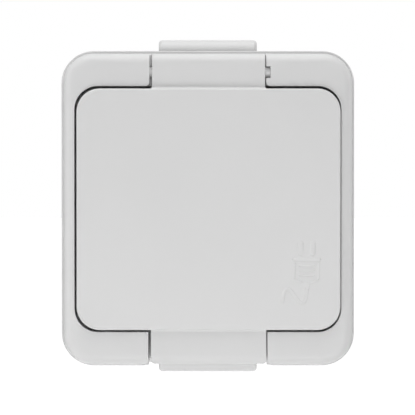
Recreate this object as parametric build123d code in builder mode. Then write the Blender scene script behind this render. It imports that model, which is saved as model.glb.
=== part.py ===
"""Outdoor weatherproof socket for a wall, with a hinged lid.

Millimetres. +X is right, +Z is up, the wall is the plane y = 0 and the front faces -Y.
A depth is a distance from the wall, so a point at depth d has y = -d.
"""

import os
from math import acos, atan2, degrees, hypot

from build123d import *

os.makedirs("parts", exist_ok=True)

# Cover frame: a body, and a front that is set in from it on all sides
frame_width = 72.5
frame_height = 78.0
frame_corner = 8.0
body_edge = 0.25
front_step = 0.7
front_step_depth = 6.0
frame_edge = 2.2
frame_wall = 2.45
frame_front = 50.0
frame_skirt = 22.5
frame_skin = 2.0

# Lid opening in the frame
side_band = 3.4
opening_height = 60.6
opening_corner = 5.75
opening_edge = 0.12
recess_depth = 8.5
tub_wall = 1.8

# Lid
lid_side_gap = 0.4
lid_end_gap = 0.6
lid_shift = 0.18
lid_proud = 2.0
lid_plate = 2.3
lid_edge = 0.4
lid_step = 0.6
lid_root = 0.6
skirt_inset = 1.0
skirt_wall = 1.6
skirt_drop = 5.2

# Hinge, with the axis set below the top of the frame's front and behind its face
hinge_inset = 4.55
hinge_sink = 2.0
pin_radius = 1.35
pin_clearance = 0.07
pin_reach_left = 2.2
pin_reach_right = 1.3
pin_end_gap = 0.05
hood_width = 27.8
hood_gap = 0.5
hood_wall = 1.6
hood_wrap = 165.0
hood_disc_sink = 0.2
hood_clearance = 0.3
hood_side_gap = 0.1
notch_round_top = 1.0
notch_rise = 1.15

# Pull tab and finger notch
pull_width = 28.4
pull_gap = 0.5
pull_wall = 1.7
pull_depth = 6.0
pull_corner = 1.0
notch_round_bottom = 1.0
scoop_depth = 1.7
scoop_length = 9.5

# Back box
box_clearance = 0.3
box_wall = 2.4
box_floor = 2.4
rim_gap = 1.5
box_edge = 0.8
entry_width = 24.8
entry_reach = 42.0
entry_rear = 2.5
entry_gap = 1.5
entry_wall = 2.4
entry_round = 0.9
entry_front_round = 3.0
post_radius = 3.75
post_spacing_x = 51.0
post_spacing_z = 46.0
post_web = 2.0
wall_hole_radius = 2.3
wall_hole_spacing_x = 32.0
wall_hole_spacing_z = 57.0
wall_hole_sink_radius = 4.6
wall_hole_sink = 0.8
knockout_radius = 10.0
knockout_groove = 1.0
knockout_depth = 1.2

# Rim seal and cable grommets
seal_width = 1.6
seal_depth = 1.2
seal_inset = 3.0
grommet_hole_radius = 6.5
grommet_flange_radius = 8.4
grommet_flange = 1.0
grommet_lip_radius = 7.6
grommet_lip = 1.2
grommet_skin = 1.0
grommet_wall = 1.6
grommet_cone = 4.0
grommet_taper = 1.8

# Socket well
well_radius = 19.75
well_wall = 2.0
well_flange_radius = 23.6
well_flange = 2.0
well_depth = 17.5
well_floor = 2.5
well_gasket_thickness = 1.0
well_clearance = 0.6
pin_pitch = 19.0
pin_hole_radius = 2.7
rib_width = 5.2
rib_height = 2.3
tongue_slot_margin = 0.6
tongue_slot_skin = 1.2
well_lip_round = 0.6
collar_gap = 0.6
collar_wall = 1.6
collar_height = 2.5

# Contact carrier
carrier_size = 46.0
carrier_corner = 6.0
carrier_foot = 3.0
pocket_floor = 1.4
pocket_x = 8.0
pocket_z = 10.0
carrier_screw_offset = 18.5
foot_radius = 3.2
fit_gap = 0.3

# Contacts, terminals and earth strap
strip = 0.8
contact_width = 6.0
contact_recess = 1.3
contact_base_half = 3.6
contact_grip_half = 2.6
contact_mouth_half = 3.5
contact_foot_width = 5.0
contact_bend = 1.0
contact_knee = 0.28
contact_grip = 0.72
terminal_offset = 17.4
terminal_size = 7.6
terminal_height = 9.0
terminal_bevel = 0.5
wire_radius = 1.7
wire_height = 3.8
wire_way = 4.1
wire_way_floor = 1.8
strap_width = 8.0
strap_arm = 20.9
tongue_grip = 17.2
tongue_tip = 19.4
tongue_tip_drop = 1.6
tongue_top_drop = 5.0
tongue_heel = 6.5
strap_heel = 1.5
strap_bend = 1.2
earth_offset = 18.4
clamp_size = 5.2
clamp_thickness = 1.0
clamp_corner = 0.5
bed_gap = 0.05

# Screws
cover_head_radius = 3.2
cover_head = 2.2
cover_shank_radius = 1.7
cover_screw_length = 14.0
small_head_radius = 2.7
small_head = 2.0
small_shank_radius = 1.4
terminal_screw_length = 5.0
earth_screw_length = 8.0
centre_screw_length = 8.0
centre_head = 1.4
pilot_spare = 1.5
hole_clearance = 0.2
screw_seal_thickness = 0.8
recess_slot = 0.8
recess_span = 1.1
recess_share = 0.6
head_round_share = 0.4

# Lid gasket
gasket_inner = 23.4
gasket_width = 3.0
gasket_height = 3.2
gasket_air = 0.3
gasket_rib = 1.4
gasket_grip = 2.2
gasket_round = 0.6

# Sizes that follow from the ones above
frame_rear = frame_front - frame_skirt
recess_floor = frame_front - recess_depth
panel_rear = recess_floor - frame_skin
opening_width = frame_width - 2 * side_band
opening_top = opening_height / 2
frame_top = frame_height / 2
front_width = frame_width - 2 * front_step
front_height = frame_height - 2 * front_step
front_top = front_height / 2
lid_front = frame_front + lid_proud
lid_rear = lid_front - lid_plate
lid_width = opening_width - 2 * lid_side_gap
lid_height = opening_height - 2 * lid_end_gap
lid_top = lid_height / 2
hinge_depth = frame_front - hinge_sink
hinge_height = front_top - hinge_inset
notch_half = hood_width / 2 + hood_gap
hood_radius = hypot(hinge_inset, frame_edge - hinge_sink)
hood_reach = hypot(hinge_inset - frame_edge, frame_edge - hinge_sink) + frame_edge
seat_radius = hood_reach + hood_clearance
pull_half = pull_width / 2 + pull_gap
skirt_width = frame_width - 2 * frame_wall
skirt_height = frame_height - 2 * frame_wall
skirt_corner = frame_corner - frame_wall
box_width = skirt_width - 2 * box_clearance
box_depth = panel_rear - rim_gap
box_height = skirt_height - 2 * box_clearance
box_corner = skirt_corner - box_clearance
seal_width_inside = box_width - 2 * seal_depth
seal_height_inside = box_height - 2 * seal_depth
entry_length = frame_rear - entry_gap - entry_rear
well_front = recess_floor + well_gasket_thickness + well_flange
well_face = well_front - well_depth
carrier_front = well_face - well_floor
carrier_rear = box_floor + carrier_foot
well_outer = well_radius + well_wall
collar_inner = well_flange_radius + collar_gap
contact_rear = carrier_rear + pocket_floor
contact_height = carrier_front - contact_recess - contact_rear - strip / 2
strap_depth = carrier_front - strip / 2 - bed_gap
screw_points = [(x, z) for x in (-1, 1) for z in (-1, 1)]
post_points = [(x * post_spacing_x / 2, z * post_spacing_z / 2) for x, z in screw_points]
carrier_points = [(side * carrier_screw_offset, side * carrier_screw_offset) for side in (-1, 1)]
terminal_points = [(-terminal_offset, 0), (terminal_offset, 0)]


def at_depth(depth):
    """Plane parallel to the wall at a depth, looking at the front: x right, y up."""
    return Plane.XZ.offset(depth)


def lid_at(depth):
    """The same plane, centred where the lid rests within its sideways play."""
    return Plane(origin=(lid_shift, -depth, 0), x_dir=(1, 0, 0), z_dir=(0, -1, 0))


def side_at(x, depth=0.0, height=0.0):
    """Plane across the object at x: its own x runs from the wall to the front, its y up."""
    return Plane(origin=(x, -depth, height), x_dir=(0, -1, 0), z_dir=(-1, 0, 0))


def corner_round(x, y, right, up):
    """Adds the sliver between two square edges that meet at a point and the arc that rounds them."""
    with Locations((x + right / 2, y + up / 2)):
        Rectangle(abs(right), abs(up))
    with Locations((x + right, y + up)):
        Circle(abs(right), mode=Mode.SUBTRACT)


def frame_block():
    """The outer block of the cover frame: the body, and on it the front with its rounded edge."""
    with BuildPart() as block:
        with BuildSketch(at_depth(frame_rear)):
            RectangleRounded(frame_width, frame_height, frame_corner)
        extrude(amount=frame_skirt - front_step_depth)
        fillet(block.faces().sort_by(Axis.Y)[0].edges(), radius=body_edge)
        with BuildSketch(at_depth(frame_front - front_step_depth)):
            RectangleRounded(front_width, front_height, frame_corner - front_step)
        extrude(amount=front_step_depth)
        fillet(block.faces().sort_by(Axis.Y)[0].edges(), radius=frame_edge)
    return block.part


def screw_group(points, seat, head_radius, head, shank_radius, length):
    """Pan-head screws at the points, heads on the seat depth, shanks towards the wall."""
    with BuildPart() as group:
        with BuildSketch(at_depth(seat)):
            with Locations(*points):
                Circle(head_radius)
        extrude(amount=head)
        fillet(group.edges().group_by(Axis.Y)[0], radius=head * head_round_share)
        with BuildSketch(at_depth(seat)):
            with Locations(*points):
                Circle(shank_radius)
        extrude(amount=-length)
        with BuildSketch(at_depth(seat + head)):
            with Locations(*points):
                Rectangle(head_radius * recess_span, recess_slot)
                Rectangle(recess_slot, head_radius * recess_span)
        extrude(amount=-head * recess_share, mode=Mode.SUBTRACT)
    return group.part


def spring_contact(side):
    """A strip folded into two leaves that pinch a plug pin, with a tail to its terminal."""
    centre = side * pin_pitch / 2
    base = contact_rear + strip / 2
    with BuildPart() as contact:
        with BuildSketch(side_at(centre)):
            with BuildLine():
                FilletPolyline(
                    (base + contact_height, contact_mouth_half),
                    (base + contact_height * contact_grip, contact_grip_half),
                    (base + contact_height * contact_knee, contact_base_half),
                    (base, contact_base_half),
                    (base, -contact_base_half),
                    (base + contact_height * contact_knee, -contact_base_half),
                    (base + contact_height * contact_grip, -contact_grip_half),
                    (base + contact_height, -contact_mouth_half),
                    radius=contact_bend,
                )
            trace(line_width=strip)
        extrude(amount=contact_width / 2, both=True)
        with BuildSketch(at_depth(contact_rear)):
            with Locations((side * (terminal_offset + pin_pitch / 2) / 2, 0)):
                Rectangle(terminal_offset - pin_pitch / 2 + terminal_size, contact_foot_width)
        extrude(amount=strip)
    return contact.part


def clamp_terminal(side):
    """A clamp block with a cross bore for the wire and a threaded hole for its screw."""
    rear = contact_rear + strip
    with BuildPart() as terminal:
        with BuildSketch(at_depth(rear)):
            with Locations((side * terminal_offset, 0)):
                Rectangle(terminal_size, terminal_size)
                Circle(small_shank_radius, mode=Mode.SUBTRACT)
        extrude(amount=terminal_height)
        chamfer(terminal.edges().filter_by(Axis.Y), length=terminal_bevel)
        with BuildSketch(Plane.XY):
            with Locations((side * terminal_offset, -rear - wire_height)):
                Circle(wire_radius)
        extrude(amount=terminal_size, both=True, mode=Mode.SUBTRACT)
    return terminal.part


def cable_grommet(end):
    """A rubber entry: outer flange in the counterbore, neck, inner lip and a closed cone inside."""
    face = entry_reach
    wall = entry_wall - grommet_flange
    neck = grommet_hole_radius - bed_gap
    inner = face - grommet_flange - wall
    centre = entry_rear + entry_length / 2
    tip = inner - grommet_lip - grommet_cone
    with BuildPart() as grommet:
        with BuildSketch(Plane(origin=(0, -centre, 0), x_dir=(1, 0, 0), z_dir=(0, -1, 0))):
            with BuildLine():
                Polyline(
                    (neck - grommet_wall, end * face),
                    (grommet_flange_radius, end * face),
                    (grommet_flange_radius, end * (face - grommet_flange)),
                    (neck, end * (face - grommet_flange)),
                    (neck, end * inner),
                    (grommet_lip_radius, end * inner),
                    (neck, end * (inner - grommet_lip)),
                    (neck - grommet_taper, end * tip),
                    (0, end * tip),
                    (0, end * (tip + grommet_skin)),
                    (neck - grommet_wall - grommet_taper, end * (tip + grommet_skin)),
                    (neck - grommet_wall, end * face),
                )
            make_face()
        revolve(axis=Axis((0, -centre, 0), (0, 0, 1)))
    return grommet.part


# Back box: walls, cable-entry chambers, posts, feet and holes
with BuildPart() as back_box:
    with BuildSketch(at_depth(0)):
        RectangleRounded(box_width, box_height, box_corner)
    extrude(amount=box_depth)
    with BuildSketch(at_depth(entry_rear)):
        Rectangle(entry_width, 2 * entry_reach)
    extrude(amount=entry_length)
    # both chambers are well rounded at the front and lightly round their end faces
    for end in (-1, 1):
        end_face = back_box.faces().sort_by(Axis.Z)[0 if end < 0 else -1]
        fillet(end_face.edges().sort_by(Axis.Y)[0], radius=entry_front_round)
        end_face = back_box.faces().sort_by(Axis.Z)[0 if end < 0 else -1]
        fillet(end_face.edges().sort_by(Axis.Y)[1:], radius=entry_round)
    chamfer(back_box.faces().sort_by(Axis.Y)[-1].edges(), length=box_edge)
    with BuildSketch(at_depth(box_floor)):
        RectangleRounded(box_width - 2 * box_wall, box_height - 2 * box_wall, box_corner - box_wall)
    extrude(amount=box_depth, mode=Mode.SUBTRACT)
    with BuildSketch(at_depth(entry_rear + entry_wall)):
        Rectangle(entry_width - 2 * entry_wall, 2 * (entry_reach - entry_wall))
    extrude(amount=entry_length - 2 * entry_wall, mode=Mode.SUBTRACT)
    # grommet holes with a counterbore that keeps the flange level with the end face
    with BuildSketch(Plane.XY):
        with Locations((0, -entry_rear - entry_length / 2)):
            Circle(grommet_hole_radius)
    extrude(amount=2 * entry_reach, both=True, mode=Mode.SUBTRACT)
    for end in (-1, 1):
        with BuildSketch(Plane.XY.offset(end * entry_reach)):
            with Locations((0, -entry_rear - entry_length / 2)):
                Circle(grommet_flange_radius + bed_gap)
        extrude(amount=-end * grommet_flange, mode=Mode.SUBTRACT)
    # screw posts, each tied to the side wall by a web
    with BuildSketch(at_depth(box_floor)):
        with Locations(*post_points):
            Circle(post_radius)
        for x, z in post_points:
            with Locations(((x + (1 if x > 0 else -1) * (box_width - box_wall) / 2) / 2, z)):
                Rectangle((box_width - box_wall) / 2 - abs(x), post_web)
    extrude(amount=panel_rear - box_floor - fit_gap)
    # feet under the corners of the carrier
    with BuildSketch(at_depth(box_floor)):
        with GridLocations(2 * carrier_screw_offset, 2 * carrier_screw_offset, 2, 2):
            Circle(foot_radius)
    extrude(amount=carrier_foot)
    with BuildSketch(at_depth(panel_rear)):
        with Locations(*post_points):
            Circle(cover_shank_radius)
    extrude(amount=-cover_screw_length - pilot_spare, mode=Mode.SUBTRACT)
    with BuildSketch(at_depth(carrier_rear)):
        with Locations(*carrier_points):
            Circle(small_shank_radius)
    extrude(amount=-carrier_foot, mode=Mode.SUBTRACT)
    # holes for the wall screws, each in a shallow round sink
    with BuildSketch(at_depth(0)):
        with GridLocations(wall_hole_spacing_x, wall_hole_spacing_z, 2, 2):
            Circle(wall_hole_radius)
    extrude(amount=box_floor, mode=Mode.SUBTRACT)
    with BuildSketch(at_depth(box_floor)):
        with GridLocations(wall_hole_spacing_x, wall_hole_spacing_z, 2, 2):
            Circle(wall_hole_sink_radius)
    extrude(amount=-wall_hole_sink, mode=Mode.SUBTRACT)
    # thinned ring round the rear cable knockout
    with BuildSketch(at_depth(box_floor)):
        Circle(knockout_radius)
        Circle(knockout_radius - knockout_groove, mode=Mode.SUBTRACT)
    extrude(amount=-knockout_depth, mode=Mode.SUBTRACT)
    # groove for the rim seal
    with BuildSketch(at_depth(box_depth - seal_inset)):
        RectangleRounded(box_width + seal_width, box_height + seal_width, box_corner + seal_width / 2)
        RectangleRounded(seal_width_inside, seal_height_inside, box_corner - seal_depth, mode=Mode.SUBTRACT)
    extrude(amount=-seal_width, mode=Mode.SUBTRACT)
back_box.part.label = "back_box"
export_step(back_box.part, "parts/back_box.step")

# Rim seal
with BuildPart() as rim_seal:
    with BuildSketch(at_depth(box_depth - seal_inset)):
        RectangleRounded(skirt_width, skirt_height, skirt_corner)
        RectangleRounded(seal_width_inside, seal_height_inside, box_corner - seal_depth, mode=Mode.SUBTRACT)
    extrude(amount=-seal_width)
rim_seal.part.label = "rim_seal"
export_step(rim_seal.part, "parts/rim_seal.step")

# Cable grommets
for end, name in ((1, "cable_grommet_top"), (-1, "cable_grommet_bottom")):
    grommet = cable_grommet(end)
    grommet.label = name
    export_step(grommet, f"parts/{name}.step")

# Contact carrier: pockets for clips and terminals, wire ways and the bed of the earth strap
with BuildPart() as contact_carrier:
    with BuildSketch(at_depth(carrier_rear)):
        RectangleRounded(carrier_size, carrier_size, carrier_corner)
    extrude(amount=carrier_front - carrier_rear)
    with BuildSketch(at_depth(contact_rear)):
        for side in (-1, 1):
            with Locations((side * pin_pitch / 2, 0)):
                Rectangle(pocket_x, pocket_z)
            with Locations((side * terminal_offset, 0)):
                Rectangle(terminal_size + 2 * fit_gap, terminal_size + 2 * fit_gap)
            with Locations((side * (terminal_offset + pin_pitch / 2) / 2, 0)):
                Rectangle(terminal_offset - pin_pitch / 2, contact_foot_width + 2 * fit_gap)
    extrude(amount=carrier_front, mode=Mode.SUBTRACT)
    with BuildSketch(at_depth(contact_rear + strip + wire_way_floor)):
        with Locations(*terminal_points):
            Rectangle(wire_way, 2 * carrier_size)
    extrude(amount=carrier_front, mode=Mode.SUBTRACT)
    with BuildSketch(at_depth(carrier_front)):
        Rectangle(strap_width + 2 * fit_gap, 2 * carrier_size)
        with Locations((earth_offset / 2 + clamp_size / 4, -earth_offset)):
            Rectangle(earth_offset + clamp_size / 2 + 2 * fit_gap, clamp_size + 2 * fit_gap)
    extrude(amount=-strip - 2 * bed_gap, mode=Mode.SUBTRACT)
    with BuildSketch(at_depth(carrier_front)):
        Circle(small_shank_radius)
        with Locations((earth_offset, -earth_offset)):
            Circle(small_shank_radius)
    extrude(amount=-earth_screw_length - pilot_spare, mode=Mode.SUBTRACT)
    with BuildSketch(at_depth(carrier_front)):
        with Locations(*carrier_points):
            Circle(small_shank_radius + hole_clearance)
    extrude(amount=-carrier_front, mode=Mode.SUBTRACT)
contact_carrier.part.label = "contact_carrier"
export_step(contact_carrier.part, "parts/contact_carrier.step")

# Contacts and their terminals, live on the left
for side, name in ((-1, "live"), (1, "neutral")):
    contact = spring_contact(side)
    contact.label = f"{name}_contact"
    export_step(contact, f"parts/{name}_contact.step")
    terminal = clamp_terminal(side)
    terminal.label = f"{name}_terminal"
    export_step(terminal, f"parts/{name}_terminal.step")

# Earth strap: one strip bent into two bowed tongues, with a side tab for the wire
with BuildPart() as earth_strap:
    with BuildSketch(side_at(0)):
        with BuildLine():
            FilletPolyline(
                (well_front - tongue_tip_drop, tongue_tip),
                (well_front - tongue_top_drop, tongue_grip),
                (well_face + tongue_heel, tongue_grip),
                (well_face + strap_heel, strap_arm),
                (strap_depth, strap_arm),
                (strap_depth, -strap_arm),
                (well_face + strap_heel, -strap_arm),
                (well_face + tongue_heel, -tongue_grip),
                (well_front - tongue_top_drop, -tongue_grip),
                (well_front - tongue_tip_drop, -tongue_tip),
                radius=strap_bend,
            )
        trace(line_width=strip)
    extrude(amount=strap_width / 2, both=True)
    with BuildSketch(at_depth(strap_depth - strip / 2)):
        with Locations((earth_offset / 2 + clamp_size / 4, -earth_offset)):
            Rectangle(earth_offset + clamp_size / 2, clamp_size)
    extrude(amount=strip)
    with BuildSketch(at_depth(carrier_front)):
        Circle(small_shank_radius + hole_clearance)
        with Locations((earth_offset, -earth_offset)):
            Circle(small_shank_radius + hole_clearance)
    extrude(amount=-2 * strip, mode=Mode.SUBTRACT)
earth_strap.part.label = "earth_strap"
export_step(earth_strap.part, "parts/earth_strap.step")

# Earth clamp plate
with BuildPart() as earth_clamp:
    with BuildSketch(at_depth(strap_depth + strip / 2)):
        with Locations((earth_offset, -earth_offset)):
            RectangleRounded(clamp_size, clamp_size, clamp_corner)
            Circle(small_shank_radius + hole_clearance, mode=Mode.SUBTRACT)
    extrude(amount=clamp_thickness)
earth_clamp.part.label = "earth_clamp"
export_step(earth_clamp.part, "parts/earth_clamp.step")

# Cover frame: skirt, tub for the lid, hinge seat and finger notch
with BuildPart() as cover_frame:
    add(frame_block())
    with BuildSketch(at_depth(frame_rear)):
        RectangleRounded(skirt_width, skirt_height, skirt_corner)
    extrude(amount=frame_skirt - frame_skin, mode=Mode.SUBTRACT)
    with BuildSketch(at_depth(panel_rear)):
        tub_width = opening_width + 2 * tub_wall
        RectangleRounded(tub_width, opening_height + 2 * tub_wall, opening_corner + tub_wall)
        band = frame_top - frame_wall - opening_top
        with Locations((0, opening_top + band / 2)):
            Rectangle(2 * (notch_half + pin_reach_left + 2 * tub_wall), band)
        with Locations((0, -opening_top - band / 2)):
            Rectangle(2 * (pull_half + tub_wall), band)
    extrude(amount=frame_front - frame_skin - panel_rear)
    # opening for the lid, its edge lightly rounded
    with BuildSketch(at_depth(recess_floor)):
        RectangleRounded(opening_width, opening_height, opening_corner)
    extrude(amount=recess_depth, mode=Mode.SUBTRACT)
    opening_rim = cover_frame.faces().sort_by(Axis.Y)[0].inner_wires()[0]
    fillet(opening_rim.edges(), radius=opening_edge)
    # hinge notch, open to the front, its lower corners flared, its floor rising above the pins
    with BuildSketch(at_depth(hinge_depth)):
        with Locations((0, opening_top)):
            Rectangle(2 * notch_half, 2 * (hinge_height + pin_radius - opening_top))
        for side in (-1, 1):
            corner_round(side * notch_half, opening_top, side * notch_round_top, notch_round_top)
    extrude(amount=2 * hinge_sink, mode=Mode.SUBTRACT)
    with BuildSketch(side_at(0, hinge_depth, hinge_height)):
        with BuildLine():
            Polyline(
                (0, pin_radius),
                (notch_rise, hinge_inset),
                (2 * hinge_sink, hinge_inset),
                (2 * hinge_sink, pin_radius),
                (0, pin_radius),
            )
        make_face()
    extrude(amount=notch_half, both=True, mode=Mode.SUBTRACT)
    # concave seat behind the hood, concentric with the hinge and closer to the hood than the notch
    with BuildSketch(side_at(lid_shift, hinge_depth, hinge_height)):
        Circle(seat_radius)
    extrude(amount=hood_width / 2 + hood_side_gap, both=True, mode=Mode.SUBTRACT)
    # blind hole for the left pin, slot open to the front for the right one
    with BuildSketch(side_at(lid_shift - hood_width / 2, hinge_depth, hinge_height)):
        Circle(pin_radius + pin_clearance)
    extrude(amount=pin_reach_left + pin_end_gap, mode=Mode.SUBTRACT)
    with BuildSketch(side_at(lid_shift + hood_width / 2, hinge_depth, hinge_height)):
        Circle(pin_radius + pin_clearance)
        with Locations((hinge_sink, 0)):
            Rectangle(2 * hinge_sink, 2 * (pin_radius + pin_clearance))
    extrude(amount=-pin_reach_right - pin_end_gap, mode=Mode.SUBTRACT)
    # finger notch through the bottom edge, its outer corners flared
    with BuildSketch(at_depth(recess_floor)):
        with Locations((0, -(opening_top + frame_top) / 2)):
            Rectangle(2 * pull_half, frame_height - 2 * opening_top)
        for side in (-1, 1):
            corner_round(side * pull_half, -front_top, side * notch_round_bottom, notch_round_bottom)
        with Locations((0, -frame_top)):
            Rectangle(2 * (pull_half + notch_round_bottom), 2 * front_step)
    extrude(amount=2 * recess_depth, mode=Mode.SUBTRACT)
    # finger scoop under the notch
    scoop_radius = (scoop_length**2 + scoop_depth**2) / (2 * scoop_depth)
    with BuildSketch(side_at(0, recess_floor, -frame_top + scoop_depth - scoop_radius)):
        Circle(scoop_radius)
    extrude(amount=pull_half, both=True, mode=Mode.SUBTRACT)
    # hole for the well, collar for the lid gasket, holes for the cover screws
    with BuildSketch(at_depth(recess_floor)):
        Circle(collar_inner + collar_wall)
        Circle(collar_inner, mode=Mode.SUBTRACT)
    extrude(amount=collar_height)
    with BuildSketch(at_depth(panel_rear)):
        Circle(well_outer + well_clearance)
        with Locations(*post_points):
            Circle(cover_shank_radius + hole_clearance)
    extrude(amount=frame_skin, mode=Mode.SUBTRACT)
cover_frame.part.label = "cover_frame"
export_step(cover_frame.part, "parts/cover_frame.step")

# Well gasket
with BuildPart() as well_gasket:
    with BuildSketch(at_depth(recess_floor)):
        Circle(well_flange_radius)
        Circle(well_outer + well_clearance, mode=Mode.SUBTRACT)
    extrude(amount=well_gasket_thickness)
well_gasket.part.label = "well_gasket"
export_step(well_gasket.part, "parts/well_gasket.step")

# Socket well: round recess with flange, pin holes, guide ribs and slots for the earth tongues
with BuildPart() as socket_well:
    with BuildSketch(at_depth(carrier_front)):
        Circle(well_outer)
    extrude(amount=well_front - carrier_front)
    with BuildSketch(at_depth(well_front - well_flange)):
        Circle(well_flange_radius)
    extrude(amount=well_flange)
    with BuildSketch(at_depth(well_face)):
        Circle(well_radius)
        for side in (-1, 1):
            with Locations((side * well_radius, 0)):
                Rectangle(2 * rib_height, rib_width, mode=Mode.SUBTRACT)
    extrude(amount=well_depth, mode=Mode.SUBTRACT)
    fillet(socket_well.faces().sort_by(Axis.Y)[0].edges(), radius=well_lip_round)
    with BuildSketch(at_depth(carrier_front)):
        for side in (-1, 1):
            with Locations((side * pin_pitch / 2, 0)):
                Circle(pin_hole_radius)
        Circle(small_shank_radius + hole_clearance)
    extrude(amount=well_floor, mode=Mode.SUBTRACT)
    with BuildSketch(at_depth(well_face)):
        Circle(small_head_radius + hole_clearance)
    extrude(amount=-centre_head, mode=Mode.SUBTRACT)
    with BuildSketch(at_depth(carrier_front)):
        for side in (-1, 1):
            with Locations((0, side * (well_radius + well_wall / 2))):
                Rectangle(strap_width + 2 * tongue_slot_margin, 2 * well_wall)
    extrude(amount=well_depth + well_floor - tongue_slot_skin, mode=Mode.SUBTRACT)
socket_well.part.label = "socket_well"
export_step(socket_well.part, "parts/socket_well.step")

# Lid: plate, skirt, gasket groove, hinge hood with its two pins, and the pull tab
with BuildPart() as lid:
    with BuildSketch(lid_at(lid_rear)):
        RectangleRounded(lid_width, lid_height, opening_corner)
    extrude(amount=lid_plate)
    fillet(lid.faces().sort_by(Axis.Y)[0].edges(), radius=lid_edge)
    with BuildSketch(lid_at(lid_rear)):
        for inset, mode in ((skirt_inset, Mode.ADD), (skirt_inset + skirt_wall, Mode.SUBTRACT)):
            skirt_size = (lid_width - 2 * inset, lid_height - 2 * inset)
            RectangleRounded(*skirt_size, opening_corner - inset, mode=mode)
    extrude(amount=-skirt_drop)
    # ring with a groove for the lid gasket
    gasket_face = recess_floor + collar_height + gasket_air
    gasket_seat = gasket_face + gasket_height
    with BuildSketch(lid_at(gasket_seat - gasket_grip)):
        Circle(gasket_inner + gasket_width + gasket_rib)
        Circle(gasket_inner - gasket_rib, mode=Mode.SUBTRACT)
    extrude(amount=lid_rear - gasket_seat + gasket_grip)
    with BuildSketch(lid_at(gasket_seat)):
        Circle(gasket_inner + gasket_width)
        Circle(gasket_inner, mode=Mode.SUBTRACT)
    extrude(amount=-gasket_grip, mode=Mode.SUBTRACT)
    # hood: front wall level with the frame, over the same rounded edge, then rolled round the hinge axis
    wrap_start = degrees(atan2(hinge_inset, hinge_sink - frame_edge))
    inner_radius = hood_radius - hood_wall
    inner_stop = degrees(acos((hinge_sink - hood_wall) / inner_radius))
    hood_foot = lid_top - skirt_inset - skirt_wall - hinge_height
    with BuildSketch(side_at(lid_shift, hinge_depth, hinge_height)):
        with BuildLine():
            wall_line = Line((hinge_sink, hood_foot), (hinge_sink, hinge_inset - frame_edge))
            TangentArc(wall_line @ 1, (hinge_sink - frame_edge, hinge_inset), tangent=wall_line % 1)
            outer_roll = CenterArc((0, 0), hood_radius, wrap_start, hood_wrap - wrap_start)
            inner_roll = CenterArc((0, 0), inner_radius, hood_wrap, inner_stop - hood_wrap)
            Line(outer_roll @ 1, inner_roll @ 0)
            back_line = Line(inner_roll @ 1, (hinge_sink - hood_wall, hood_foot))
            Line(back_line @ 1, wall_line @ 0)
        make_face()
    extrude(amount=hood_width / 2, both=True)
    # rounded roots where the sides of the hood meet the edge of the plate
    with BuildSketch(lid_at(frame_front)):
        for side in (-1, 1):
            corner_round(side * hood_width / 2, lid_top, side * lid_root, lid_root)
    extrude(amount=-hood_wall)
    # end discs of the hood, each with a pin
    for side, reach in ((-1, pin_reach_left), (1, pin_reach_right)):
        end_x = lid_shift + side * hood_width / 2
        with BuildSketch(side_at(end_x, hinge_depth, hinge_height)):
            Circle(hood_radius - hood_disc_sink)
            with Locations((hinge_sink - hinge_inset - hood_disc_sink, -hood_disc_sink)):
                RectangleRounded(2 * hinge_inset, 2 * hinge_inset, frame_edge, mode=Mode.INTERSECT)
        extrude(amount=side * hood_wall)
        with BuildSketch(side_at(end_x, hinge_depth, hinge_height)):
            Circle(pin_radius)
        extrude(amount=-side * reach)
    # pull tab, hollow from behind
    with BuildSketch(side_at(lid_shift)):
        with BuildLine():
            tab_root = skirt_inset + skirt_wall - lid_top
            tab_line = Line((frame_front, tab_root), (frame_front, frame_edge - front_top))
            TangentArc(tab_line @ 1, (frame_front - frame_edge, -front_top), tangent=tab_line % 1)
            Polyline(
                (frame_front - frame_edge, -front_top),
                (frame_front - pull_depth, -front_top),
                (frame_front - pull_depth, tab_root),
                tab_line @ 0,
            )
        make_face()
    extrude(amount=pull_width / 2, both=True)
    with BuildSketch(lid_at(frame_front - pull_depth)):
        tab_hollow = front_top - pull_wall - lid_top + skirt_inset
        with Locations((0, skirt_inset - lid_top - tab_hollow / 2)):
            Rectangle(pull_width - 2 * pull_wall, tab_hollow)
    extrude(amount=pull_depth - pull_wall, mode=Mode.SUBTRACT)
    with BuildSketch(lid_at(frame_front)):
        for side in (-1, 1):
            corner_round(side * pull_width / 2, -front_top, -side * pull_corner, pull_corner)
    extrude(amount=-pull_depth, mode=Mode.SUBTRACT)
    # soft corner where hood and pull tab step up to the plate
    step_edges = lid.edges().filter_by(Axis.X).filter_by_position(Axis.Y, -frame_front, -frame_front)
    fillet(step_edges.filter_by_position(Axis.Z, -lid_top, lid_top), radius=lid_step)
lid.part.label = "lid"
export_step(lid.part, "parts/lid.step")

# Lid gasket
with BuildPart() as lid_gasket:
    with BuildSketch(lid_at(gasket_face)):
        Circle(gasket_inner + gasket_width)
        Circle(gasket_inner, mode=Mode.SUBTRACT)
    extrude(amount=gasket_height)
    fillet(lid_gasket.edges().group_by(Axis.Y)[-1], radius=gasket_round)
lid_gasket.part.label = "lid_gasket"
export_step(lid_gasket.part, "parts/lid_gasket.step")

# Screws and the washers under the cover screws
with BuildPart() as screw_seals:
    with BuildSketch(at_depth(recess_floor)):
        with Locations(*post_points):
            Circle(cover_head_radius)
            Circle(cover_shank_radius + hole_clearance, mode=Mode.SUBTRACT)
    extrude(amount=screw_seal_thickness)
screw_seals.part.label = "screw_seals"
export_step(screw_seals.part, "parts/screw_seals.step")

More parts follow.
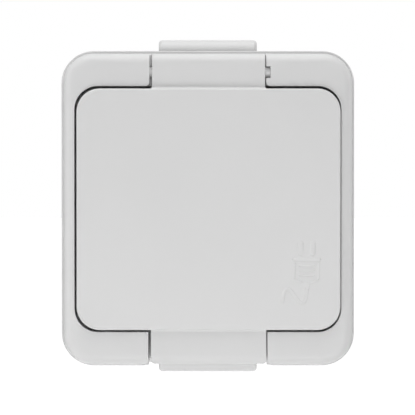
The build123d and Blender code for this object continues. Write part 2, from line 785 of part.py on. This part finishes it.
cover_screws = screw_group(
    post_points,
    recess_floor + screw_seal_thickness,
    cover_head_radius,
    cover_head,
    cover_shank_radius,
    cover_screw_length,
)
carrier_screws = screw_group(
    carrier_points,
    carrier_front,
    small_head_radius,
    small_head,
    small_shank_radius,
    carrier_front - box_floor,
)
terminal_screws = screw_group(
    terminal_points,
    contact_rear + strip + terminal_height,
    small_head_radius,
    small_head,
    small_shank_radius,
    terminal_screw_length,
)
earth_screw = screw_group(
    [(earth_offset, -earth_offset)],
    strap_depth + strip / 2 + clamp_thickness,
    small_head_radius - hole_clearance,
    small_head,
    small_shank_radius,
    earth_screw_length,
)
centre_screw = screw_group(
    [(0, 0)],
    well_face - centre_head,
    small_head_radius,
    centre_head,
    small_shank_radius,
    centre_screw_length,
)
for group, name in (
    (cover_screws, "cover_screws"),
    (carrier_screws, "carrier_screws"),
    (terminal_screws, "terminal_screws"),
    (earth_screw, "earth_screw"),
    (centre_screw, "centre_screw"),
):
    group.label = name
    export_step(group, f"parts/{name}.step")
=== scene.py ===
# %% [markdown]
# # Outdoor weatherproof socket
# This lesson dresses a finished construction model of a wall socket with a hinged lid. The model
# arrives in metres: +X is right, +Z is up, the wall is the plane y = 0 and the lid faces -Y.
# It is loaded first and never moved, so every new piece can be placed by plain numbers.

# %% Load the construction model
import bmesh
import bpy
import numpy as np
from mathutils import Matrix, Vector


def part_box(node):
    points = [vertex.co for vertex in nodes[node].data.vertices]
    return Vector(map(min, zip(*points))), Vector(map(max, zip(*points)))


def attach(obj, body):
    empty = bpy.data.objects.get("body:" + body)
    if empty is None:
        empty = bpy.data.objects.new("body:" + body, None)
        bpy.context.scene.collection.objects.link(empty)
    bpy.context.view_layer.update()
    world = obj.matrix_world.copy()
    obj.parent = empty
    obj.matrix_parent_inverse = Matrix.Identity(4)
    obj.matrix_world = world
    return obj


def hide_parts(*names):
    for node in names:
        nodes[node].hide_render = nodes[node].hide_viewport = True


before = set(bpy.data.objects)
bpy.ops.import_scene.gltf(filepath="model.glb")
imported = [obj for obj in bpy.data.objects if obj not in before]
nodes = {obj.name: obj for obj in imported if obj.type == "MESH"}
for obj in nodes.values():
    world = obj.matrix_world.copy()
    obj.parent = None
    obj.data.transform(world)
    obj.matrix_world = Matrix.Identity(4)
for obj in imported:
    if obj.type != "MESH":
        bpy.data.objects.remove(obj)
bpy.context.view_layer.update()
mm = 0.001
print("pieces from the construction model:", len(nodes))

# %% [markdown]
# ## Camera
# The picture was taken almost square to the front, with a long lens, from slightly above. Two
# things give the camera away: the cable entries stand well behind the front frame, so they look a
# little smaller than they are, and they sit a little higher in the picture than they should. The
# first fixes the distance, the second the height. A camera that is aimed by its own axis needs no
# tracking constraint, so its matrix is written down directly.

# %% Camera
from mathutils import Matrix, Vector

front_y = -50 * mm
picture_width = 102.2 * mm
camera_distance = 0.91
camera_rise = np.radians(1.7)
sensor_width = 36.0

aim = Vector((-0.08 * mm, front_y, 0.42 * mm))
back = Vector((0.0, -np.cos(camera_rise), np.sin(camera_rise)))
right = Vector((1.0, 0.0, 0.0))
up = back.cross(right)
camera_data = bpy.data.cameras.new("long_lens")
camera_data.sensor_width = sensor_width
camera_data.lens = sensor_width * camera_distance / picture_width
camera_data.clip_end = 50.0
camera = bpy.data.objects.new("long_lens", camera_data)
turned = Matrix((right, up, back)).transposed().to_4x4()
camera.matrix_world = Matrix.Translation(aim + back * camera_distance) @ turned
bpy.context.scene.collection.objects.link(camera)
bpy.context.scene.camera = camera
print("lens", round(camera_data.lens, 1), "mm at", camera_distance, "m")

# %% [markdown]
# ## Floor, lamps and background
# Nothing but white shows round the socket. A floor well below it keeps its soft shadow, and the
# world is white only for rays from the camera and from shiny surfaces. Stronger lamps would make
# the ground white too, but they would bleach the socket. The socket itself is lit by large soft
# lamps: one above, one high in front, one at the left and a weak one from below. Two more behind
# the socket, at the right and under it, reach only its rounded edges.

# %% World
ambient_strength = 0.29
white_strength = 1.0
world = bpy.data.worlds.new("studio")
bpy.context.scene.world = world
world.use_nodes = True
wn, wl = world.node_tree.nodes, world.node_tree.links
wn.clear()


def larger(one, other):
    """The larger of two node values: 1 where a ray is of either kind."""
    node = wn.new("ShaderNodeMath")
    node.operation = "MAXIMUM"
    wl.new(one, node.inputs[0])
    wl.new(other, node.inputs[1])
    return node.outputs[0]


def white_light(strength):
    """A plain white background of a given strength."""
    node = wn.new("ShaderNodeBackground")
    node.inputs["Color"].default_value = (1.0, 1.0, 1.0, 1.0)
    node.inputs["Strength"].default_value = strength
    return node.outputs[0]


ray = wn.new("ShaderNodeLightPath").outputs
seen_or_mirrored = larger(ray["Is Camera Ray"], ray["Is Glossy Ray"])
either = wn.new("ShaderNodeMixShader")
wl.new(larger(seen_or_mirrored, ray["Is Transmission Ray"]), either.inputs[0])
wl.new(white_light(ambient_strength), either.inputs[1])
wl.new(white_light(white_strength), either.inputs[2])
surface = wn.new("ShaderNodeOutputWorld")
wl.new(either.outputs[0], surface.inputs["Surface"])
print("world lights with", ambient_strength, "and looks white with", white_strength)


# %% Floor
def grid_mesh(name, points):
    """A mesh from an array of points (rows, columns, 3): every four neighbours make one face."""
    rows, columns = points.shape[:2]
    index = np.arange(rows * columns).reshape(rows, columns)
    corners = [index[:-1, :-1], index[:-1, 1:], index[1:, 1:], index[1:, :-1]]
    faces = np.stack(corners, axis=-1).reshape(-1, 4)
    mesh = bpy.data.meshes.new(name)
    mesh.from_pydata(points.reshape(-1, 3).tolist(), [], faces.tolist())
    mesh.update()
    return mesh


floor_height = -0.20
span = np.linspace(-6.0, 6.0, 13)
fx, fy = np.meshgrid(span, span)
floor_points = np.stack([fx, fy, np.full_like(fx, floor_height)], axis=-1)
floor = bpy.data.objects.new("floor", grid_mesh("floor", floor_points))
bpy.context.scene.collection.objects.link(floor)
print("floor at", floor_height, "m has", len(floor.data.polygons), "faces")


# %% Floor finish
def node_material(name):
    """A new node material: itself, its nodes, links and shader, and the place of a point on it."""
    material = bpy.data.materials.new(name)
    material.use_nodes = True
    tree = material.node_tree
    shader = tree.nodes["Principled BSDF"]
    place = tree.nodes.new("ShaderNodeTexCoord").outputs["Object"]
    return material, tree.nodes, tree.links, shader, place


def noise(n, l, place, scale, detail=2.0):
    """The value of a noise at a place, with so many waves to the metre and so many finer layers."""
    node = n.new("ShaderNodeTexNoise")
    node.inputs["Scale"].default_value = scale
    node.inputs["Detail"].default_value = detail
    l.new(place, node.inputs["Vector"])
    return node.outputs["Fac"]


def two_tones(n, l, shader, factor, light, dark):
    """Colours a shader with two tones: dark where the factor is 0, light where it is 1."""
    tone = n.new("ShaderNodeMix")
    tone.data_type = "RGBA"
    tone.inputs["A"].default_value = (*dark, 1.0)
    tone.inputs["B"].default_value = (*light, 1.0)
    l.new(factor, tone.inputs["Factor"])
    l.new(tone.outputs["Result"], shader.inputs["Base Color"])


pale, pn, pl, shader, place = node_material("pale_floor")
two_tones(pn, pl, shader, noise(pn, pl, place, 6.0), (0.90, 0.90, 0.90), (0.86, 0.86, 0.86))
shader.inputs["Roughness"].default_value = 0.9
shader.inputs["Specular IOR Level"].default_value = 0.1
away = pn.new("ShaderNodeVectorMath")
away.operation = "LENGTH"
pl.new(place, away.inputs[0])
glow = pn.new("ShaderNodeMapRange")
glow.inputs["From Min"].default_value = 0.3
glow.inputs["From Max"].default_value = 1.6
glow.inputs["To Min"].default_value = 0.30
glow.inputs["To Max"].default_value = 0.80
pl.new(away.outputs["Value"], glow.inputs["Value"])
lift = pn.new("ShaderNodeMath")
lift.operation = "MULTIPLY"
pl.new(pn.new("ShaderNodeLightPath").outputs["Is Camera Ray"], lift.inputs[0])
pl.new(glow.outputs["Result"], lift.inputs[1])
shader.inputs["Emission Color"].default_value = (1.0, 1.0, 1.0, 1.0)
pl.new(lift.outputs[0], shader.inputs["Emission Strength"])
floor.data.materials.append(pale)
print(pale.name, "on floor, brighter to the camera further away")

# %% Lamps
socket_middle = Vector((0, -0.03, 0))


def soft_lamp(name, place, size, power):
    """A square area lamp at a point, facing the middle of the socket."""
    data = bpy.data.lights.new(name, "AREA")
    data.size = size
    data.energy = power
    lamp = bpy.data.objects.new(name, data)
    lamp.location = place
    lamp.rotation_euler = (socket_middle - Vector(place)).to_track_quat("-Z", "Y").to_euler()
    lamp.visible_camera = False
    bpy.context.scene.collection.objects.link(lamp)
    print(name, "has", power, "W")


soft_lamp("lamp_above", (0.0, -0.12, 1.1), 0.7, 7.0)
soft_lamp("lamp_front", (0.0, -0.9, 1.0), 0.8, 4.0)
soft_lamp("lamp_left", (-0.6, -0.22, 0.05), 0.4, 0.85)
soft_lamp("lamp_right", (1.2, 0.35, 0.1), 0.8, 3.4)
soft_lamp("lamp_low", (0.0, -0.25, -0.19), 0.30, 0.47)
soft_lamp("lamp_under", (0.0, 0.12, -0.19), 0.30, 0.24)

# %% [markdown]
# ## Moulded plastic
# Box, frame and lid are one light grey moulded plastic. Up close its surface is the fine eroded
# skin of the mould, and over a few centimetres its tone drifts very slightly. Both are noise: the
# drift mixes two neighbouring greys, the skin only tilts the normal. A skin this fine could also be
# real relief in the mesh, but that would take millions of faces and show no better.


# %% Moulded plastic finishes
def ranged(n, l, factor, low, high):
    """A factor from 0 to 1, spread evenly from low to high."""
    node = n.new("ShaderNodeMapRange")
    node.inputs["To Min"].default_value = low
    node.inputs["To Max"].default_value = high
    l.new(factor, node.inputs["Value"])
    return node.outputs["Result"]


def bumped(n, l, shader, height, strength, distance):
    """Tilts a shader's normal as relief of a height and a distance would."""
    node = n.new("ShaderNodeBump")
    node.inputs["Strength"].default_value = strength
    node.inputs["Distance"].default_value = distance
    l.new(height, node.inputs["Height"])
    l.new(node.outputs["Normal"], shader.inputs["Normal"])


def moulded_plastic(name, light, dark, roughness, skin_scale, skin_depth):
    """Two greys mixed by a broad noise, roughness drifting with it, and a fine noise as bump."""
    material, n, l, shader, place = node_material(name)
    drift = noise(n, l, place, scale=45.0, detail=3.0)
    two_tones(n, l, shader, drift, light, dark)
    gloss = ranged(n, l, drift, roughness - 0.05, roughness + 0.05)
    l.new(gloss, shader.inputs["Roughness"])
    skin = noise(n, l, place, scale=skin_scale, detail=4.0)
    bumped(n, l, shader, skin, strength=0.35, distance=skin_depth)
    return material


light_grey, light_shade = (0.680, 0.680, 0.680), (0.655, 0.655, 0.655)
housing_finish = moulded_plastic("housing_plastic", light_grey, light_shade, 0.50, 3200.0, 8e-6)
off_white, white_shade = (0.72, 0.72, 0.71), (0.70, 0.70, 0.69)
well_finish = moulded_plastic("well_plastic", off_white, white_shade, 0.34, 2200.0, 4e-6)
mid_grey, mid_shade = (0.30, 0.30, 0.29), (0.26, 0.26, 0.255)
carrier_finish = moulded_plastic("carrier_plastic", mid_grey, mid_shade, 0.55, 2600.0, 9e-6)


def dress(material, *names):
    """Gives construction pieces a finish by filling every material slot they have."""
    for name in names:
        for slot in nodes[name].material_slots:
            slot.material = material
    print(material.name, "on", ", ".join(names))


dress(housing_finish, "back_box", "cover_frame", "lid")
dress(well_finish, "socket_well")
dress(carrier_finish, "contact_carrier")

# %% [markdown]
# ## Rubber and metal
# Seals are matte black rubber with a faint bloom, and the cable entries a grey one. Contacts are
# rolled brass, the earth strip is nickel plated and the screws are zinc plated. Rolled strip shows
# fine lines. A shader's own anisotropy would draw out the highlights but show no single line, so the
# lines are a noise, stretched along the strip.


# %% Rubber finishes
def matte_rubber(name, light, dark):
    """Two near tones in a cloudy noise, very rough, with a slight bump."""
    material, n, l, shader, place = node_material(name)
    cloud = noise(n, l, place, scale=350.0, detail=5.0)
    two_tones(n, l, shader, cloud, light, dark)
    shader.inputs["Roughness"].default_value = 0.72
    bumped(n, l, shader, cloud, strength=0.3, distance=1e-5)
    return material


seal_finish = matte_rubber("seal_rubber", (0.036, 0.036, 0.038), (0.022, 0.022, 0.024))
grommet_finish = matte_rubber("grommet_rubber", (0.40, 0.40, 0.395), (0.35, 0.35, 0.345))
dress(seal_finish, "rim_seal", "well_gasket", "lid_gasket", "screw_seals")
dress(grommet_finish, "cable_grommet_top", "cable_grommet_bottom")


# %% Metal finishes
def rolled_metal(name, light, dark, roughness, stretch):
    """Metal whose tone and roughness follow a noise stretched along the rolling direction."""
    material, n, l, shader, place = node_material(name)
    mapping = n.new("ShaderNodeMapping")
    mapping.inputs["Scale"].default_value = stretch
    l.new(place, mapping.inputs["Vector"])
    lines = noise(n, l, mapping.outputs["Vector"], scale=900.0, detail=3.0)
    two_tones(n, l, shader, lines, light, dark)
    shader.inputs["Metallic"].default_value = 1.0
    polish = ranged(n, l, lines, roughness - 0.08, roughness + 0.08)
    l.new(polish, shader.inputs["Roughness"])
    return material


rolled, plain = (1.0, 0.12, 1.0), (1.0, 1.0, 1.0)
brass_finish = rolled_metal("contact_brass", (0.72, 0.52, 0.22), (0.62, 0.43, 0.17), 0.34, rolled)
plated_finish = rolled_metal("plated_strip", (0.66, 0.64, 0.60), (0.56, 0.54, 0.50), 0.30, rolled)
screw_finish = rolled_metal("screw_steel", (0.62, 0.63, 0.64), (0.50, 0.51, 0.53), 0.36, plain)
dress(brass_finish, "live_contact", "neutral_contact", "live_terminal", "neutral_terminal")
dress(plated_finish, "earth_strap", "earth_clamp")
dress(screw_finish, "cover_screws", "carrier_screws", "terminal_screws", "earth_screw", "centre_screw")

# %% [markdown]
# ## Turned rubber: lid gasket and cable entries
# A gasket or a cable entry is the same section all the way round. The section is drawn once, as a
# few corners in radius and height, its corners are softened, and it is carried round an axis. A
# spin tool would do this too, but with arrays the radius may also change on the way round, which
# the screws further down need.


# %% Sections carried round an axis
def turned_points(radius, height, centre, axis):
    """Points of a surface round an axis: centre + height * axis + radius * (cos, sin of the angle).
    Radius and height are arrays (section, angle). The angle starts at +X and goes once round."""
    angle = np.linspace(0.0, 2 * np.pi, radius.shape[1], endpoint=False)
    axis, across = np.asarray(axis, float), np.array([1.0, 0.0, 0.0])
    beside = np.cross(axis, across)
    spoke = np.cos(angle)[:, None] * across + np.sin(angle)[:, None] * beside
    return np.asarray(centre) + height[..., None] * axis + radius[..., None] * spoke


def closed_faces(rows, columns, loop, first=0):
    """Faces of a grid that closes round its columns, and round its rows too where it is a loop.
    Where it is not, the first and last row are each closed by one face. Its points count from first."""
    index = first + np.arange(rows * columns).reshape(rows, columns)
    low = index if loop else index[:-1]
    high = np.roll(index, -1, axis=0) if loop else index[1:]
    quads = np.stack([low, np.roll(low, -1, axis=1), np.roll(high, -1, axis=1), high], axis=-1)
    faces = quads.reshape(-1, 4).tolist()
    return faces if loop else faces + [index[0][::-1].tolist(), index[-1].tolist()]


def turned_section(section, columns, centre, axis):
    """Points and faces of a closed section, rows of radius and height, carried round unchanged."""
    radius = np.repeat(section[:, :1], columns, axis=1)
    height = np.repeat(section[:, 1:], columns, axis=1)
    points = turned_points(radius, height, centre, axis)
    return points, closed_faces(len(section), columns, True)


def new_piece(name, points, faces, material, body):
    """A mesh piece in place, facing outwards, that rides on a body and takes a finish."""
    mesh = bpy.data.meshes.new(name)
    mesh.from_pydata(np.asarray(points).reshape(-1, 3).tolist(), [], faces)
    mesh.update()
    solid = bmesh.new()
    solid.from_mesh(mesh)
    bmesh.ops.recalc_face_normals(solid, faces=solid.faces)
    solid.to_mesh(mesh)
    solid.free()
    mesh.polygons.foreach_set("use_smooth", np.ones(len(mesh.polygons), bool))
    mesh.materials.append(material)
    piece = bpy.data.objects.new(name, mesh)
    bpy.context.scene.collection.objects.link(piece)
    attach(piece, body)
    print(name, "has", len(mesh.polygons), "faces")
    return piece


# %% Lid gasket
low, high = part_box("lid_gasket")
gasket_centre = ((low.x + high.x) / 2, high.y, (low.z + high.z) / 2)
gasket_height = high.y - low.y
gasket_outer = (high.x - low.x) / 2
gasket_width = 3.0 * mm
lip_height = 0.7 * mm
lips = 2
gasket_columns = 160

across = np.linspace(0.0, 1.0, 25)
lip = lip_height * (1 - np.cos(2 * np.pi * lips * across)) / 2
edge_radius = gasket_outer - gasket_width + gasket_width * across
section = np.concatenate([
    np.stack([edge_radius, lip_height - lip], axis=-1),
    np.array([[gasket_outer, gasket_height], [gasket_outer - gasket_width, gasket_height]]),
])
points, faces = turned_section(section, gasket_columns, gasket_centre, (0, -1, 0))
gasket = new_piece("lid_gasket_lips", points, faces, seal_finish, "lid")
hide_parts("lid_gasket")


# %% Cable entries
def soft_section(corners, rounding, samples=5):
    """A closed section with soft corners. Each corner P becomes the curve from A to B, points at
    the rounding distance before and after it: (1-t)^2 A + 2t(1-t) P + t^2 B."""
    most = 0.45  # the share of a side that one corner may take
    corner = np.asarray(corners, float)
    before = np.roll(corner, 1, axis=0) - corner
    after = np.roll(corner, -1, axis=0) - corner
    long_before = np.linalg.norm(before, axis=1, keepdims=True)
    long_after = np.linalg.norm(after, axis=1, keepdims=True)
    start = corner + before / long_before * np.minimum(rounding, most * long_before)
    end = corner + after / long_after * np.minimum(rounding, most * long_after)
    t = np.linspace(0.0, 1.0, samples)[None, :, None]
    curve = (1 - t) ** 2 * start[:, None] + 2 * t * (1 - t) * corner[:, None] + t**2 * end[:, None]
    return curve.reshape(-1, 2)


entry_low, entry_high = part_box("cable_grommet_top")
entry_depth = (entry_low.y + entry_high.y) / 2
flange_radius = (entry_high.x - entry_low.x) / 2
entry_face = entry_high.z
entry_drop = entry_high.z - entry_low.z
step_radii = np.array([6.0, 4.6, 3.2]) * mm
step_depths = np.array([1.4, 3.0, 4.6]) * mm
neck_radius = 6.45 * mm
neck_taper = 1.8 * mm
lip_radius = 7.6 * mm
flange_depth = 1.0 * mm
lip_start = 2.4 * mm
lip_stop = 3.6 * mm
dimple_radius = 0.25 * mm
skin_thickness = 0.9 * mm
skin_margin = 0.4 * mm
edge_softness = 0.35 * mm
entry_columns = 96

outside = [
    (flange_radius, 0),
    (flange_radius, -flange_depth),
    (neck_radius, -flange_depth),
    (neck_radius, -lip_start),
    (lip_radius, -lip_start),
    (neck_radius, -lip_stop),
    (neck_radius - neck_taper, -entry_drop),
]
tread_depths = np.concatenate([[0], np.repeat(step_depths, 2)[:-1]])
treads = np.stack([np.repeat(step_radii, 2), tread_depths], axis=-1)
skin = entry_drop - skin_thickness
inside = [
    (dimple_radius, -entry_drop),
    (dimple_radius, -skin),
    (step_radii[-1] - skin_margin, -skin),
]
steps_out = (treads[::-1] * (1, -1)).tolist()
profile = soft_section(outside + inside + steps_out, edge_softness)
for name, end in (("cable_entry_top", 1.0), ("cable_entry_bottom", -1.0)):
    mouth = (0, entry_depth, end * entry_face)
    points, faces = turned_section(profile, entry_columns, mouth, (0, 0, end))
    entry = new_piece(name, points, faces, grommet_finish, "housing")
    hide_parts(name.replace("entry", "grommet"))

# %% [markdown]
# ## Screws
# The four cover screws and the screw in the middle of the recess are pan heads with a cross recess.
# Looking down on a head, its height depends only on where you are on it: a dome, minus a cross that
# is deepest in the middle. That is a height over radius and angle, and the same grid runs on over
# the rim, under the head and down the thread, where the radius rises and falls once per turn. A
# cutter could take the cross out of a plain head too, but it would leave slivers and knife edges.


# %% Screws as heights over radius and angle
def smooth_step(value, low, high):
    """0 below low, 1 above high, and 3t^2 - 2t^3 between them."""
    t = np.clip((value - low) / (high - low), 0.0, 1.0)
    return t * t * (3 - 2 * t)


def screw_points(centre, head_radius, head, shank_radius, length, pitch, columns=96):
    """One screw from the middle of its head to its tip, along -Y at the front.
    Head: dome 1 - 0.3 (r/R)^4, less the cross. Thread: shank radius less (1 - cos(turn - angle)) / 2
    times its depth, where the turn grows by a full circle with every pitch."""
    angle = np.linspace(0.0, 2 * np.pi, columns, endpoint=False)[None, :]
    flat = 0 * angle
    rounding = 0.2 * head
    top = np.linspace(0.01, 1.0, 40)[:, None] * (head_radius - rounding) + flat
    x, y = top * np.cos(angle), top * np.sin(angle)
    arm = head_radius * 0.13
    reach = head_radius * 0.62
    narrow_x, narrow_y = (1 - smooth_step(np.abs(v), arm * 0.8, arm * 1.3) for v in (x, y))
    short_x, short_y = (1 - smooth_step(np.abs(v), reach * 0.85, reach) for v in (x, y))
    rising_floor = 1 - 0.45 * top / reach
    cross = np.maximum(short_x * narrow_y, narrow_x * short_y) * rising_floor
    cross_depth = 0.62 * head
    dome = head * (1 - 0.3 * (top / head_radius) ** 4)
    top_height = dome - cross_depth * cross
    bend = np.linspace(0.0, np.pi / 2, 6)[1:, None] + flat
    rim_radius = head_radius - rounding * (1 - np.sin(bend))
    rim_height = dome[-1] - rounding * (1 - np.cos(bend))
    rows_per_turn = 8
    threaded = 0.93 * length
    drop = np.linspace(0.0, threaded, int(length / pitch * rows_per_turn))[:, None] + flat
    wave = (1 - np.cos(2 * np.pi * drop / pitch - angle)) / 2
    fade = smooth_step(drop, pitch * 0.5, pitch * 1.5)
    thread_depth = 0.16 * shank_radius
    shank = shank_radius - thread_depth * wave * fade
    tip_radius = 0.25 * shank_radius
    rings = [top, rim_radius, head_radius + flat, shank_radius + flat, shank, tip_radius + flat]
    levels = [top_height, rim_height, flat, flat, -drop, flat - length]
    return turned_points(np.concatenate(rings), np.concatenate(levels), centre, (0, -1, 0))


def joined(grids):
    """Several closed grids as one array of points and one list of faces, counted on grid by grid."""
    sizes = [grid.shape[0] * grid.shape[1] for grid in grids]
    firsts = np.cumsum([0] + sizes[:-1])
    points = np.concatenate([grid.reshape(-1, 3) for grid in grids])
    faces = [closed_faces(*grid.shape[:2], False, first) for grid, first in zip(grids, firsts)]
    return points, sum(faces, [])


def screw_set(name, node, centres, seat, **sizes):
    """Screws of one size as one piece that stands for a construction node."""
    points, faces = joined([screw_points((x, seat, z), **sizes) for x, z in centres])
    piece = new_piece(name, points, faces, screw_finish, "housing")
    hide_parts(node)


# %% Place the screws
low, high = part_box("cover_screws")
head_r = 3.2 * mm
corners = [(x, z) for x in (low.x + head_r, high.x - head_r) for z in (low.z + head_r, high.z - head_r)]
cover_head = 2.2 * mm
cover_length = high.y - low.y - cover_head
screw_set(
    "cover_screw_heads", "cover_screws", corners, low.y + cover_head,
    head_radius=head_r, head=cover_head, shank_radius=1.7 * mm, length=cover_length, pitch=1.3 * mm,
)
low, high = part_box("centre_screw")
centre_head = 1.4 * mm
centre_length = high.y - low.y - centre_head
screw_set(
    "centre_screw_head", "centre_screw", [(0.0, 0.0)], low.y + centre_head,
    head_radius=2.7 * mm, head=centre_head, shank_radius=1.4 * mm, length=centre_length, pitch=1.0 * mm,
)

# %% [markdown]
# ## Raised sign
# A small plug sign stands about a tenth of a millimetre proud of the lid, at its lower right. It is
# the plainest drawing of a plug: two pins, a flange, a ribbed body and a curl of cord. Bevelled
# curves would give such lines too, but as tubes with blunt ends. Here each line is a flat-bottomed
# bead carried along a path, rounded off at both ends, with its foot just inside the lid, so that no
# edge lies in the lid's face.


# %% Raised sign
def bead(path, width, height, foot):
    """A raised line. Across it the section is a half ellipse, and its half width shrinks towards
    both ends like a circle, so the ends are round. Rows run along the path, columns round it."""
    least = 0.02  # keeps the end rows open, as a share of the width, squared
    fullness = 0.7  # below 1, the half ellipse has a flatter top
    hold = 1.2  # the full height lasts until the width has shrunk by this
    run = np.concatenate([[0.0], np.cumsum(np.linalg.norm(np.diff(path, axis=0), axis=1))])
    end = np.minimum(run, run[-1] - run)
    reach = np.sqrt(np.clip(1 - np.clip(1 - end / (width / 2), 0, 1) ** 2, least, 1))
    ahead = np.gradient(path, axis=0)
    ahead /= np.linalg.norm(ahead, axis=1, keepdims=True)
    side = np.stack([-ahead[:, 1], ahead[:, 0]], axis=-1)
    turn = np.linspace(0.0, np.pi, 9)
    offset = np.concatenate([np.cos(turn), [-1.0, 1.0]]) * width / 2
    level = np.concatenate([np.sin(turn) ** fullness * height, [-foot, -foot]])
    flat = path[:, None, :] + side[:, None, :] * (offset * reach[:, None])[..., None]
    rise = np.where(level > 0, level * np.minimum(1, reach[:, None] * hold), level)
    return np.stack([flat[..., 0], -rise, flat[..., 1]], axis=-1)


def line(start, end, count=24):
    """Evenly spaced points from start to end."""
    t = np.linspace(0.0, 1.0, count)[:, None]
    return np.asarray(start) * (1 - t) + np.asarray(end) * t


lid_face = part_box("lid")[0].y
sign_place = np.array([24.3 * mm, lid_face, -14.8 * mm])
sign_rise = 0.12 * mm
sign_foot = 0.06 * mm
# the lines of the drawing and their widths, in millimetres from the sign's place
bow = np.linspace(0.0, 1.0, 90)
lean = 0.14 * np.sin(2 * np.pi * bow)
cord_wave = np.stack([0.2 - 6.2 * (bow - lean), -6.45 + 1.75 * np.cos(3 * np.pi * bow)], axis=-1)
strokes = [
    (line((-3.6, 2.5), (3.6, 2.5)), 0.9),
    (line((0.2, -3.2), (0.2, -4.8)), 1.3),
    (cord_wave, 0.8),
]
for side in (-1, 1):
    strokes.append((line((1.5 * side, 3.4), (1.5 * side, 7.1)), 1.4))
    strokes.append((line((3.0 * side, 1.8), (3.0 * side, -2.3)), 0.6))
    strokes.append((line((3.0 * side, -2.4), (1.0 * side, -3.3)), 0.6))
for rib in (0.9, -0.3, -1.5):
    strokes.append((line((-2.0, rib), (2.0, rib)), 0.5))
beads = [bead(path * mm, width * mm, sign_rise, sign_foot) + sign_place for path, width in strokes]
sign_points, sign_faces = joined(beads)
new_piece("plug_sign", sign_points, sign_faces, housing_finish, "lid")

# %% [markdown]
# ## Hand-over
# The picture is shown with plain colour handling.

# %% Hand-over
bpy.context.scene.view_settings.view_transform = "Standard"
